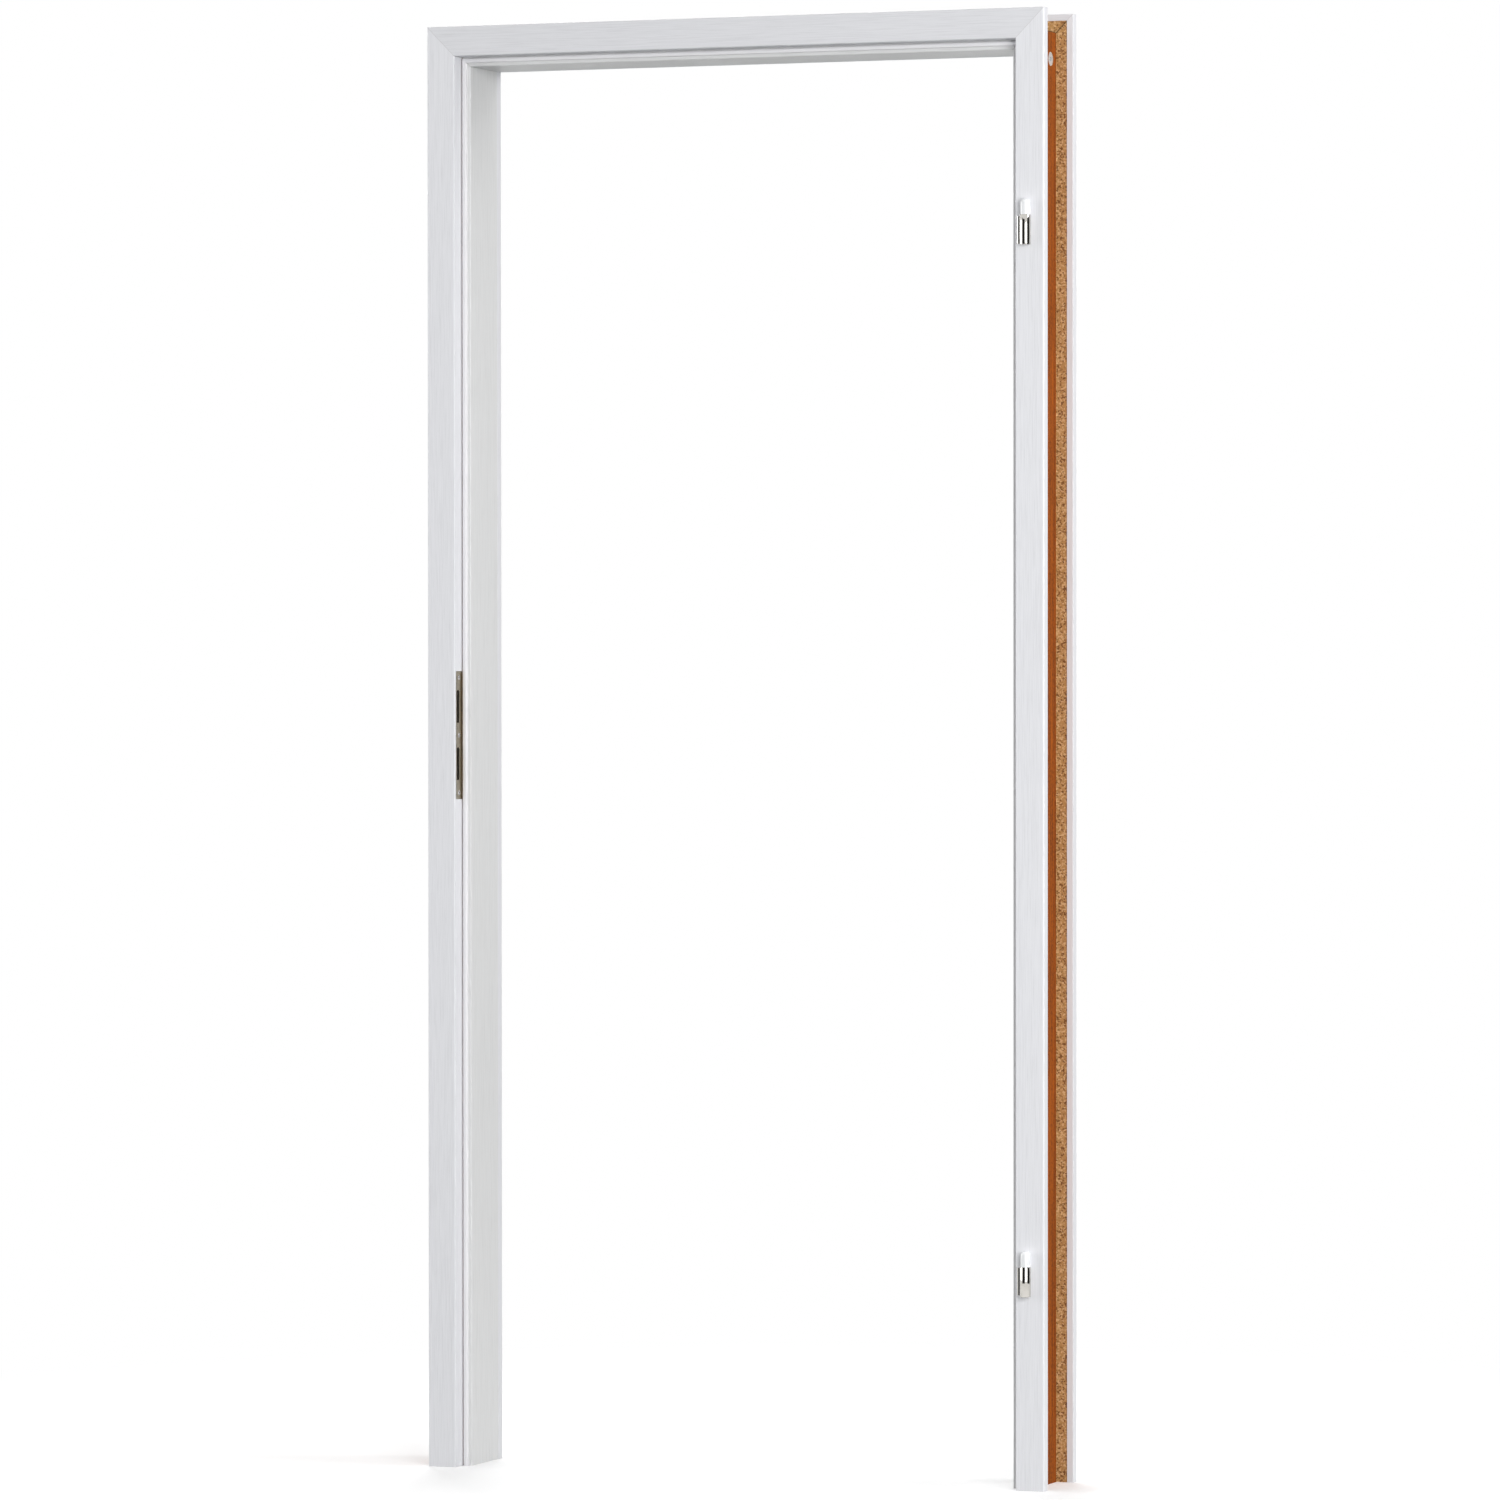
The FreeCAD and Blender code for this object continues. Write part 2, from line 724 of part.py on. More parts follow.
def hinge_frame_part(label, at):
    """The barrel and its flat leg, which leaves the back of the barrel as a tangent."""
    body = new_body(label, at)
    circle = new_sketch(body, "XY_Plane")
    draw_circle(circle, (ZERO, ZERO), size.barrel_diameter)
    pad(body, circle, size.barrel_height)
    chamfer(body, lambda edge: True, size.barrel_chamfer)
    flat = new_sketch(body, "XY_Plane", leg_base)
    tangent = size.barrel_diameter / 2
    end = size.pin_proud + size.leg_depth
    draw_outline(flat, [
        (ZERO, tangent),
        (ZERO, tangent - size.leg_thick),
        (leg_x, tangent - size.leg_thick, size.leg_thick + size.leg_bend),
        (leg_x, end),
        (leg_x + size.leg_thick, end),
        (leg_x + size.leg_thick, tangent, size.leg_bend),
    ])
    pad(body, flat, size.leg_height)
    depth = size.barrel_height - size.barrel_floor
    bore(body, size.pin_diameter + size.pin_play * 2, depth, (ZERO, ZERO, size.barrel_floor), TURN_UP)


def hinge_pin(label, at):
    """The steel pin, from the floor of the barrel up into the sleeve."""
    body = new_body(label, at)
    sketch = new_sketch(body, "XY_Plane", size.barrel_floor)
    draw_circle(sketch, (ZERO, ZERO), size.pin_diameter)
    pad(body, sketch, size.barrel_height - size.barrel_floor + size.pin_rise)
    chamfer(body, lambda edge: True, size.pin_chamfer)


def hinge_sleeve(label, at):
    """The plastic sleeve that the leaf's half of the hinge turns on, closed by a dome."""
    body = new_body(label, at)
    sketch = new_sketch(body, "XZ_Plane")
    inner = size.pin_diameter / 2 + size.pin_play
    outer = size.sleeve_diameter / 2
    roof = size.pin_rise + size.pin_chamfer
    draw_outline(sketch, [
        (inner, ZERO),
        (outer, ZERO),
        (outer, size.sleeve_height, size.sleeve_dome),
        (ZERO, size.sleeve_height),
        (ZERO, roof),
        (inner, roof),
    ])
    revolve(body, sketch)


def receiver_outline(play):
    """The receiver's rounded outline on the rebate side, as seen along the hinge's own X."""
    front = size.pin_proud + size.receiver_front
    low = (size.barrel_height - size.receiver_height) / 2
    return rectangle(front + play, low + play, front + size.receiver_width - play,
                     low + size.receiver_height - play, size.receiver_corner)


def leg_room(start, end):
    """Low and high corners of the gap that takes the leg, between two depths."""
    low = (leg_x - size.leg_play, start, leg_base - size.leg_play)
    high = (leg_x + size.leg_thick + size.leg_play, end, leg_base + size.leg_height + size.leg_play)
    return low, high


def grub_points():
    """Height of the two clamping screws, and how far back they are."""
    back = size.pin_proud + size.receiver_front + size.receiver_width / 2
    middle = size.barrel_height / 2
    return back, (middle - size.grub_spacing / 2, middle + size.grub_spacing / 2)


def hinge_receiver(label, at):
    """The zinc block that takes the leg, with two threaded holes from the rebate side."""
    body = new_body(label, at)
    sketch = new_sketch(body, "YZ_Plane", -size.pin_out)
    draw_outline(sketch, receiver_outline(size.receiver_play))
    pad(body, sketch, size.receiver_depth - size.receiver_play)
    front = size.pin_proud + size.receiver_front
    mill(body, *leg_room(front, size.pin_proud + size.leg_depth + size.leg_play))
    back, heights = grub_points()
    for height in heights:
        bore(body, grub_hole, size.leg_setback, (-size.pin_out, back, height), TURN_X[1])


def grub_screws(label, at):
    """Two screws that clamp the leg, each with a square socket."""
    body = new_body(label, at)
    body.AllowCompound = True
    back, heights = grub_points()
    sketch = new_sketch(body, "YZ_Plane", size.grub_sunk - size.pin_out)
    draw_circle(sketch, (back, heights[0]), size.grub_diameter)
    shank = pad(body, sketch, size.leg_setback - size.grub_sunk)
    flat = size.grub_socket / 2
    socket = new_sketch(body, "YZ_Plane", size.grub_sunk - size.pin_out)
    draw_outline(socket, rectangle(back - flat, heights[0] - flat, back + flat, heights[0] + flat))
    cut = pocket(body, socket, size.grub_socket_depth, forward=True)
    pattern(body, [shank, cut], "Z_Axis", size.grub_spacing, 2)


def shift_points(points, y, z):
    """The same outline moved within its plane."""
    return [(across + y, up + z, *rest) for across, up, *rest in points]


def shift_corner(corner, at):
    """The same point moved to where a piece stands."""
    return tuple(own + there for own, there in zip(corner, at))


upper_z = rebate_z - size.hinge_top - size.barrel_height
for place_name, base in (("upper", upper_z), ("lower", size.hinge_low)):
    at = (hinge_x, -size.pin_proud, base)
    hinge_frame_part(f"hinge_{place_name}", at)
    hinge_pin(f"hinge_pin_{place_name}", at)
    hinge_sleeve(f"hinge_sleeve_{place_name}", (at[0], at[1], base + size.barrel_height + size.sleeve_seat))
    hinge_receiver(f"hinge_receiver_{place_name}", at)
    grub_screws(f"hinge_grubs_{place_name}", at)
    casing = member["rebate_casing", "right"]
    room = new_sketch(casing, "YZ_Plane", rebate_x)
    draw_outline(room, shift_points(receiver_outline(ZERO), at[1], at[2]))
    pocket(casing, room, size.receiver_depth, forward=True)
    gap = leg_room(size.pin_proud, size.pin_proud + size.receiver_front)
    mill(casing, *(shift_corner(corner, at) for corner in gap))

# Strike plate, flush in the rebate side of the left leg, with a slot for the latch over one
# for the dead bolt and a pocket behind each slot.

plate_back = rebate_x + size.strike_thick
slot_front = size.strike_front + size.strike_slot_front
slot_back = slot_front + size.strike_slot_width
screw_back = size.strike_front + size.strike_width / 2
screw_cone = (size.screw_head - size.screw_shank) / 2
SCREW_COUNT = 3
screw_row = size.strike_height - size.screw_end * 2
slot_height = (size.strike_height - size.strike_bridge) / 2 - size.strike_slot_end
dead_low = size.strike_low + size.strike_slot_end
SLOT_LOWS = (dead_low, dead_low + slot_height + size.strike_bridge)


def strike_outline(play):
    """The plate's rounded outline, grown by the play of its recess."""
    return rectangle(size.strike_front - play, size.strike_low - play,
                     size.strike_front + size.strike_width + play,
                     size.strike_low + size.strike_height + play, size.strike_corner)


def screw_points():
    """Where the heads of the three screws lie."""
    lowest = size.strike_low + size.screw_end
    spacing = screw_row / (SCREW_COUNT - 1)
    return [(-rebate_x, screw_back, lowest + spacing * number) for number in range(SCREW_COUNT)]


def strike_plate():
    """The plate with its slots and three countersunk holes."""
    body = new_body("strike_plate")
    sketch = new_sketch(body, "YZ_Plane", -rebate_x)
    draw_outline(sketch, strike_outline(ZERO))
    for low in SLOT_LOWS:
        high = low + slot_height
        draw_outline(sketch, rectangle(slot_front, low, slot_back, high, size.strike_slot_corner))
    pad(body, sketch, size.strike_thick).Reversed = True
    for at in screw_points():
        bore(body, size.screw_shank + size.screw_play * 2, size.strike_thick, at, TURN_X[-1])
        before = body.Shape.Volume
        cone = body.newObject("PartDesign::SubtractiveCone", "Countersink")
        cone.setExpression("Radius1", (size.screw_head / 2 + size.screw_play).formula)
        cone.setExpression("Radius2", (size.screw_shank / 2 + size.screw_play).formula)
        cone.setExpression("Height", screw_cone.formula)
        cone.Placement = FreeCAD.Placement(Vector(), TURN_X[-1])
        place(cone, at)
        check_cut(body, before)


def strike_screws():
    """Three countersunk screws, each with a square socket. The own Z axis points into the wood
    and the own X axis up the plate."""
    body = new_body("strike_screws", screw_points()[0], TURN_X[-1])
    body.AllowCompound = True
    profile = new_sketch(body, "XZ_Plane")
    draw_outline(profile, [
        (ZERO, ZERO),
        (size.screw_head / 2, ZERO),
        (size.screw_shank / 2, screw_cone),
        (size.screw_shank / 2, size.screw_length - size.screw_shank),
        (ZERO, size.screw_length),
    ])
    turned = revolve(body, profile)
    flat = size.screw_socket / 2
    socket = new_sketch(body, "XY_Plane")
    draw_outline(socket, rectangle(-flat, -flat, flat, flat))
    cut = pocket(body, socket, size.screw_socket_depth, forward=True)
    pattern(body, [turned, cut], "X_Axis", screw_row, SCREW_COUNT)


strike_plate()
strike_screws()
casing = member["rebate_casing", "left"]
recess = new_sketch(casing, "YZ_Plane", -rebate_x)
draw_outline(recess, strike_outline(size.strike_play))
pocket(casing, recess, size.strike_thick)
for low in SLOT_LOWS:
    margin = size.pocket_margin
    mill(casing, (-(plate_back + size.pocket_depth), slot_front - margin, low - margin),
         (-plate_back, slot_back + margin, low + slot_height + margin))
for at in screw_points():
    bore(casing, size.screw_shank + size.screw_play * 2, size.screw_length + size.screw_play, at, TURN_X[-1])

# Check every object and every finished shape, then write one file for each sub-part
doc.recompute()
for thing in doc.Objects:
    if "Invalid" in thing.State or "Error" in thing.State:
        raise RuntimeError(f"{thing.Label} failed: {thing.State}")
for body in bodies:
    shape = body.Shape
    if shape.isNull() or not shape.isValid() or not shape.Solids:
        raise RuntimeError(f"{body.Label} has no valid solid")
    shape.exportStep(f"parts/{body.Label}.step")
    box = shape.BoundBox
    print(f"{body.Label:28} solids {len(shape.Solids)} volume {shape.Volume:12.1f} faces {len(shape.Faces)}",
          [round(v, 2) for v in (box.XMin, box.XMax, box.YMin, box.YMax, box.ZMin, box.ZMax)])
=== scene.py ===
import math

import bmesh
import bpy
from bpy.props import FloatProperty, FloatVectorProperty, IntProperty, PointerProperty
from bpy.types import Operator, Panel, PropertyGroup
from mathutils import Euler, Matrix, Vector


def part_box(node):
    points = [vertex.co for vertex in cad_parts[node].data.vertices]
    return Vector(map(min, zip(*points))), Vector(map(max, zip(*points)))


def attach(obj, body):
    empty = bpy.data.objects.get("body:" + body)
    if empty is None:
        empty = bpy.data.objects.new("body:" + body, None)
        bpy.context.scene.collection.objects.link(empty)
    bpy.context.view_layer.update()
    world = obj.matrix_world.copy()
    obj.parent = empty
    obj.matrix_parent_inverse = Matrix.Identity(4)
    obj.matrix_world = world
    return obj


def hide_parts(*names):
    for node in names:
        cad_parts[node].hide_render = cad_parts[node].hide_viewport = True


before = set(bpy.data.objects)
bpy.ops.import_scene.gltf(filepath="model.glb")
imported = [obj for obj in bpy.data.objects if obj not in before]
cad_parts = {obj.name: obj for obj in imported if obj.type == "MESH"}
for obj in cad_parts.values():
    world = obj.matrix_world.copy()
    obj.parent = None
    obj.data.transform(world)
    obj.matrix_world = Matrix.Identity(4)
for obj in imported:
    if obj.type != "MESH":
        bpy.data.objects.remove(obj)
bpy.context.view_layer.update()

bl_info = {
    "name": "Door Frame Finishes",
    "version": (1, 0, 0),
    "blender": (4, 5, 0),
    "location": "View3D > Sidebar > Door Frame",
    "description": "Dresses the rebated door frame in foil, chipboard, metal and seal finishes",
    "category": "Object",
}

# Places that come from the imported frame
casing_low, casing_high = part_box("rebate_casing_left")
lining_low, lining_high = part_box("lining_left")
trim_low, trim_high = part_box("trim_casing_left")
CLEAR_X = -lining_high.x
CLEAR_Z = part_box("lining_head")[0].z
WALL_OUT = -lining_low.x - CLEAR_X
REBATE_OUT = -casing_high.x - CLEAR_X
OUTER_OUT = -casing_low.x - CLEAR_X
FRONT_Y = casing_low.y
LINING_Y = lining_low.y
TRIM_Y = trim_low.y
TRIM_BACK_Y = trim_high.y
MIDDLE_Z = casing_high.z / 2

LEGS = ("left", "right")
HINGES = ("upper", "lower")
FRAME_BODY = "frame"

# Shades of one colour, as pairs of place on the ramp and brightness
FOIL_SHADES = ((0.32, 0.92), (0.5, 1.0), (0.7, 1.04))
PAPER_SHADES = ((0.38, 0.5), (0.62, 1.4))
WOOD_SHADES = ((0.3, 0.7), (0.7, 1.2))
BRUSHED_SHADES = ((0.3, 0.86), (0.7, 1.12))
# Painted shadow: a near-black chipboard colour that stands in for the shade inside the deep pockets
PAINTED_POCKET_SHADOW = 0.06
MITRE_SHADE = 0.2

# How much two kinds of grain count in a mix; the shares of a pair add up to 1
PORES_SHARE, BANDS_SHARE = 0.9, 0.1
CHIPS_SHARE, GRIT_SHARE = 0.75, 0.25
STREAKS_SHARE, SHOW_THROUGH_SHARE = 0.6, 0.4

# Pitches and widths as multiples of the grain, the chips and the gaps
BANDS_PITCH = 9
STREAKS_PITCH = 3
SHOW_THROUGH_PITCH = 2
GRIT_PITCH = 0.8
END_GRAIN_REACH = 1 / 8
RAW_MITRE_WIDTH = 3
FOIL_MITRE, RAW_MITRE = 0.22, 0.82

FOIL_ROUGHNESS, PAPER_ROUGHNESS, RAW_ROUGHNESS = 0.38, 0.6, 0.88
FOIL_SPECULAR = 0.25
FOIL_RELIEF, WOOD_RELIEF = 0.00012, 0.0002
BRUSH_RUN, BRUSH_PITCH, BRUSH_ROUGHNESS = 0.02, 0.00025, 0.1
SMOOTH_ANGLE = math.radians(25)
SAME_PLACE = 1e-5

# The stage: lamps as place and side, screens as first angle and sweep in degrees
LAMPS = {
    "key": ((3.8, -4.3, 1.5), 3.0),
    "fill": ((-5.6, -2.2, 1.5), 3.5),
    "side": ((5.0, 0.6, 3.2), 3.0),
    "back": ((-2.4, 5.0, 3.2), 3.0),
}
SCREENS = {"screen_front": (-44, 56), "screen_side": (64, 125)}
SCREEN_AWAY, SCREEN_HEIGHT = 2.5, 2.6
SCREEN_BLACK = (0.012, 0.012, 0.012)
FLOOR_HALF = 60
SHADOW_NEAR, SHADOW_FAR = 0.75, 1.9
FLOOR_WHITE, FLOOR_LIFT = 0.92, 0.15


class FrameSizes(PropertyGroup):
    """Sizes of the finishes and of the hinge pieces."""

    lip_width: FloatProperty(
        name="Lip width", description="Foil-wrapped lip that lies on the wall",
        default=0.009, unit="LENGTH")
    lip_relief: FloatProperty(
        name="Lip relief", description="How far the raw board lies back behind the lip",
        default=0.0015, unit="LENGTH")
    casing_thick: FloatProperty(
        name="Casing thickness", description="Plate of a casing, front to back",
        default=0.015, unit="LENGTH")
    pocket_rest: FloatProperty(
        name="Pocket rest", description="Board left behind the floor of a pocket",
        default=0.0025, unit="LENGTH")
    foil_turn: FloatProperty(
        name="Foil turn", description="How far in from a rounded arris the foil still shows",
        default=0.0027, unit="LENGTH")
    foil_edge: FloatProperty(
        name="Foil edge", description="Foil and glue seen on a cut edge",
        default=0.0004, unit="LENGTH")
    grain_pitch: FloatProperty(
        name="Grain pitch", description="Distance between the foil's fine pores, across the grain",
        default=0.0012, unit="LENGTH")
    grain_run: FloatProperty(
        name="Grain run", description="Length of a pore along the grain",
        default=0.05, unit="LENGTH")
    chip_size: FloatProperty(
        name="Chip size", description="Size of a chip in the raw board",
        default=0.0021, unit="LENGTH")
    seal_gap: FloatProperty(
        name="Seal gap", description="Bare stop seen between the seal and the rebate",
        default=0.0016, unit="LENGTH")
    joint_gap: FloatProperty(
        name="Joint gap", description="Dark line seen along a mitre",
        default=0.0004, unit="LENGTH")
    leg_thick: FloatProperty(
        name="Hinge leg thickness", description="Flat leg of a hinge barrel",
        default=0.003, unit="LENGTH")
    leg_setback: FloatProperty(
        name="Hinge leg margin", description="How far each end of the barrel stands past the leg",
        default=0.002, unit="LENGTH")
    barrel_floor: FloatProperty(
        name="Barrel floor", description="Closed bottom of a hinge barrel",
        default=0.004, unit="LENGTH")
    rim_bevel: FloatProperty(
        name="Rim bevel", description="Broken edge of a hinge barrel",
        default=0.0006, unit="LENGTH")
    sleeve_dome: FloatProperty(
        name="Sleeve dome", description="Rounding of a sleeve's closed top",
        default=0.005, unit="LENGTH")
    round_steps: IntProperty(
        name="Round steps", description="Sides of a turned piece",
        default=72, min=24)


class FrameColours(PropertyGroup):
    """Colours of the finishes, as linear values."""

    foil: FloatVectorProperty(
        name="Foil", description="White wood-grain foil",
        default=(0.81, 0.812, 0.84), subtype="COLOR")
    # Painted shade: the lining boards get the same foil made a little darker and less blue,
    # standing in for their shade
    reveal: FloatVectorProperty(
        name="Reveal foil", description="The same foil on the lining boards, a little warmer",
        default=(0.785, 0.785, 0.785), subtype="COLOR")
    # Painted shade: the head's foil is made darker to stand in for how the light falls on it
    head_painted_shade: FloatProperty(
        name="Head tone", description="How bright the foil looks where its grain lies level",
        default=0.93, min=0)
    chipboard: FloatVectorProperty(
        name="Chipboard", description="Raw board seen on cut and recessed faces",
        default=(0.50, 0.27, 0.10), subtype="COLOR")
    chip_dark: FloatVectorProperty(
        name="Dark chips", description="Bark and resin specks in the raw board",
        default=(0.20, 0.085, 0.03), subtype="COLOR")
    chip_pale: FloatVectorProperty(
        name="Pale chips", description="Light chips in the raw board",
        default=(0.70, 0.45, 0.22), subtype="COLOR")
    paper: FloatVectorProperty(
        name="Backing paper", description="Brown paper on the wall side of the lining",
        default=(0.275, 0.063, 0.003), subtype="COLOR")
    fibreboard: FloatVectorProperty(
        name="Fibreboard", description="Tongue strips",
        default=(0.33, 0.20, 0.10), subtype="COLOR")
    seal: FloatVectorProperty(
        name="Seal", description="Soft seal",
        default=(0.84, 0.83, 0.85), subtype="COLOR")
    nickel: FloatVectorProperty(
        name="Nickel", description="Plated hinge steel",
        default=(0.62, 0.60, 0.56), subtype="COLOR")
    strike: FloatVectorProperty(
        name="Strike", description="Satin strike plate",
        default=(0.42, 0.38, 0.30), subtype="COLOR")
    steel: FloatVectorProperty(
        name="Screw steel", description="Bright screws, pins and bolts",
        default=(0.66, 0.66, 0.67), subtype="COLOR")
    zinc: FloatVectorProperty(
        name="Zinc", description="Die-cast connectors and receivers",
        default=(0.74, 0.77, 0.79), subtype="COLOR")
    sleeve: FloatVectorProperty(
        name="Sleeve", description="Smooth plastic sleeve",
        default=(0.86, 0.87, 0.88), subtype="COLOR")
    beech: FloatVectorProperty(
        name="Beech", description="Dowels",
        default=(0.52, 0.33, 0.16), subtype="COLOR")
    floor: FloatVectorProperty(
        name="Floor", description="Floor as it lights the frame",
        default=(0.09, 0.10, 0.10), subtype="COLOR")


class FrameStage(PropertyGroup):
    """Where the camera stands and how strong the lamps are."""

    camera_place: FloatVectorProperty(
        name="Camera", description="Where the camera stands",
        default=(3.80, -9.057, 1.120), subtype="TRANSLATION", unit="LENGTH")
    camera_turn: FloatProperty(
        name="Turn", description="Turn of the camera to the left of straight ahead",
        default=0.3415, subtype="ANGLE")
    camera_dip: FloatProperty(
        name="Dip", description="How far the camera looks down",
        default=0.0112, subtype="ANGLE")
    lens: FloatProperty(
        name="Lens", description="Focal length in millimetres",
        default=169.0)
    shift: FloatProperty(
        name="Shift", description="Sideways shift of the lens",
        default=-0.26)
    key_power: FloatProperty(
        name="Key", description="Large soft lamp in front, to the right",
        default=242, subtype="POWER", unit="POWER")
    fill_power: FloatProperty(
        name="Fill", description="Soft lamp on the left, a little in front",
        default=160, subtype="POWER", unit="POWER")
    side_power: FloatProperty(
        name="Side", description="Soft lamp on the right",
        default=120, subtype="POWER", unit="POWER")
    back_power: FloatProperty(
        name="Back", description="Soft lamp high behind the frame, to the left",
        default=210, subtype="POWER", unit="POWER")
    sky: FloatProperty(
        name="Sky", description="Strength of the even light from all round",
        default=0.42)


class Wire:
    """A shader socket in an expression. Each operator adds a Math node."""

    def __init__(self, nodes, socket):
        self.nodes = nodes
        self.socket = socket

    def math(self, operation, *others):
        inputs = dict(enumerate((self, *others)))
        return self.nodes.add("ShaderNodeMath", {"operation": operation}, inputs)

    def __add__(self, other):
        return self.math("ADD", other)

    def __sub__(self, other):
        return self.math("SUBTRACT", other)

    def __mul__(self, other):
        return self.math("MULTIPLY", other)

    def __rsub__(self, other):
        return self.nodes.add("ShaderNodeMath", {"operation": "SUBTRACT"}, {0: other, 1: self})

    __radd__ = __add__
    __rmul__ = __mul__

    def __gt__(self, edge):
        return self.math("GREATER_THAN", edge)

    def __lt__(self, edge):
        return self.math("LESS_THAN", edge)

    def __abs__(self):
        return self.math("ABSOLUTE")

    def either(self, other):
        return self.math("MAXIMUM", other)


class Nodes:
    """A node tree that nodes are added to."""

    def __init__(self, tree):
        self.tree = tree

    def add(self, kind, settings, inputs, output=0):
        """Adds a node with its settings and its inputs, and gives one of its outputs."""
        node = self.tree.nodes.new(kind)
        for name, value in settings.items():
            if name == "stops":
                self.set_stops(node.color_ramp, value)
            else:
                setattr(node, name, value)
        for name, value in inputs.items():
            self.feed(node.inputs[name], value)
        return Wire(self, node.outputs[output])

    def set_stops(self, ramp, stops):
        """Gives a ramp its colours, from pairs of place and colour."""
        while len(ramp.elements) < len(stops):
            ramp.elements.new(1)
        for element, (place, colour) in zip(ramp.elements, stops):
            element.position = place
            element.color = (*colour, 1)

    def feed(self, socket, value):
        """Links a wire to a socket, or sets the socket's own value."""
        if isinstance(value, Wire):
            self.tree.links.new(value.socket, socket)
        elif hasattr(value, "__len__") and len(value) == 3 and socket.type == "RGBA":
            socket.default_value = (*value, 1)
        else:
            socket.default_value = value

    def seen_rays(self):
        """1 for rays from the camera and for those seen in metal or through glass."""
        kinds = ("Is Camera Ray", "Is Glossy Ray", "Is Transmission Ray")
        camera, glossy, through = [self.add("ShaderNodeLightPath", {}, {}, kind) for kind in kinds]
        return camera.either(glossy).either(through)


class Look(Nodes):
    """A material whose surface shader is set by name."""

    def __init__(self, name):
        self.material = bpy.data.materials.new(name)
        self.material.use_nodes = True
        super().__init__(self.material.node_tree)
        self.surface = self.tree.nodes["Principled BSDF"]
        self.position = self.add("ShaderNodeTexCoord", {}, {}, "Object")
        parts = [self.add("ShaderNodeSeparateXYZ", {}, {0: self.position}, axis) for axis in "XYZ"]
        self.x, self.y, self.z = parts

    def set(self, **inputs):
        """Sets sockets of the surface shader. An underscore stands for a space."""
        for name, value in inputs.items():
            self.feed(self.surface.inputs[name.replace("_", " ")], value)

    def noise(self, pitch, detail=2.0, roughness=0.5):
        """Noise whose grains have the given size along X, Y and Z."""
        scale = [1 / length for length in pitch]
        place = self.add("ShaderNodeVectorMath", {"operation": "MULTIPLY"},
                         {0: self.position, 1: scale})
        inputs = {"Vector": place, "Scale": 1.0, "Detail": detail, "Roughness": roughness}
        return self.add("ShaderNodeTexNoise", {}, inputs, "Fac")

    def cells(self, size):
        """A random grey for each chip of about the given size."""
        inputs = {"Vector": self.position, "Scale": 1 / size}
        chip = self.add("ShaderNodeTexVoronoi", {}, inputs, "Color")
        return self.add("ShaderNodeSeparateColor", {}, {0: chip}, "Red")

    def blend(self, mask, first, second):
        """The first colour where the mask is 0, the second where it is 1."""
        return self.add("ShaderNodeMix", {"data_type": "RGBA"}, {0: mask, 6: first, 7: second}, 2)

    def ramp(self, value, *stops):
        """A colour picked by a value."""
        return self.add("ShaderNodeValToRGB", {"stops": stops}, {0: value}, "Color")

    def shades(self, value, colour, stops):
        """Shades of one colour picked by a value."""
        return self.ramp(value, *((place, scaled(colour, part)) for place, part in stops))

    def bump(self, height, depth, strength=1.0):
        """A relief of the given depth."""
        inputs = {"Height": height, "Distance": depth, "Strength": strength}
        self.set(Normal=self.add("ShaderNodeBump", {}, inputs, "Normal"))


def scaled(parts, factor):
    """Each part of a colour or of a pitch, multiplied."""
    return tuple(part * factor for part in parts)


def dress(nodes, look):
    """Gives CAD nodes a finish through their own material slots."""
    for node in nodes:
        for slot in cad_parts[node].material_slots:
            slot.material = look.material


def grain_pitch(sizes, along):
    """Pore size along X, Y and Z for grain that runs along one axis."""
    return [sizes.grain_run if axis == along else sizes.grain_pitch for axis in "xyz"]


def foil_colour(look, sizes, colours, along, base):
    """Foil with fine pores and faint broad bands along the grain, and its relief; on the head the
    foil is painted darker as shade.
    """
    pitch = grain_pitch(sizes, along)
    pores = look.noise(pitch, detail=4.0, roughness=0.65)
    bands = look.noise(scaled(pitch, BANDS_PITCH))
    value = pores * PORES_SHARE + bands * BANDS_SHARE
    # Painted shade: the head's foil is darkened by this factor
    tone = colours.head_painted_shade if along == "x" else 1.0
    return look.shades(value, scaled(base, tone), FOIL_SHADES), value


def chipboard_colour(look, sizes, colours):
    """Raw chipboard: small chips of many tans with dark specks."""
    chips = look.cells(sizes.chip_size)
    grit = look.noise([sizes.chip_size * GRIT_PITCH] * 3, detail=3.0, roughness=0.7)
    value = chips * CHIPS_SHARE + grit * GRIT_SHARE
    return look.ramp(value, (0.18, colours.chip_dark), (0.36, colours.chipboard),
                     (0.6, colours.chipboard), (0.82, colours.chip_pale))


def paper_colour(look, sizes, colours, along):
    """Brown backing paper with faint streaks and the board's chips showing through."""
    pitch = scaled(grain_pitch(sizes, along), STREAKS_PITCH)
    streaks = look.noise(pitch, detail=3.0, roughness=0.6)
    chips = look.noise([sizes.chip_size * SHOW_THROUGH_PITCH] * 3, detail=3.0, roughness=0.7)
    value = streaks * STREAKS_SHARE + chips * SHOW_THROUGH_SHARE
    return look.shades(value, colours.paper, PAPER_SHADES)


def out_of_opening(look, along):
    """Distance out from the clear opening, for a leg or for the head."""
    return abs(look.x) - CLEAR_X if along == "z" else look.z - CLEAR_Z


def mitre_line(look, sizes, raw):
    """Darkness along the mitres of the corners, fine on foil and wider on raw board."""
    off = (abs(look.x) - CLEAR_X) - (look.z - CLEAR_Z)
    half = raw * (sizes.joint_gap * (RAW_MITRE_WIDTH - 1)) + sizes.joint_gap
    return (abs(off) < half) * (raw * (RAW_MITRE - FOIL_MITRE) + FOIL_MITRE)


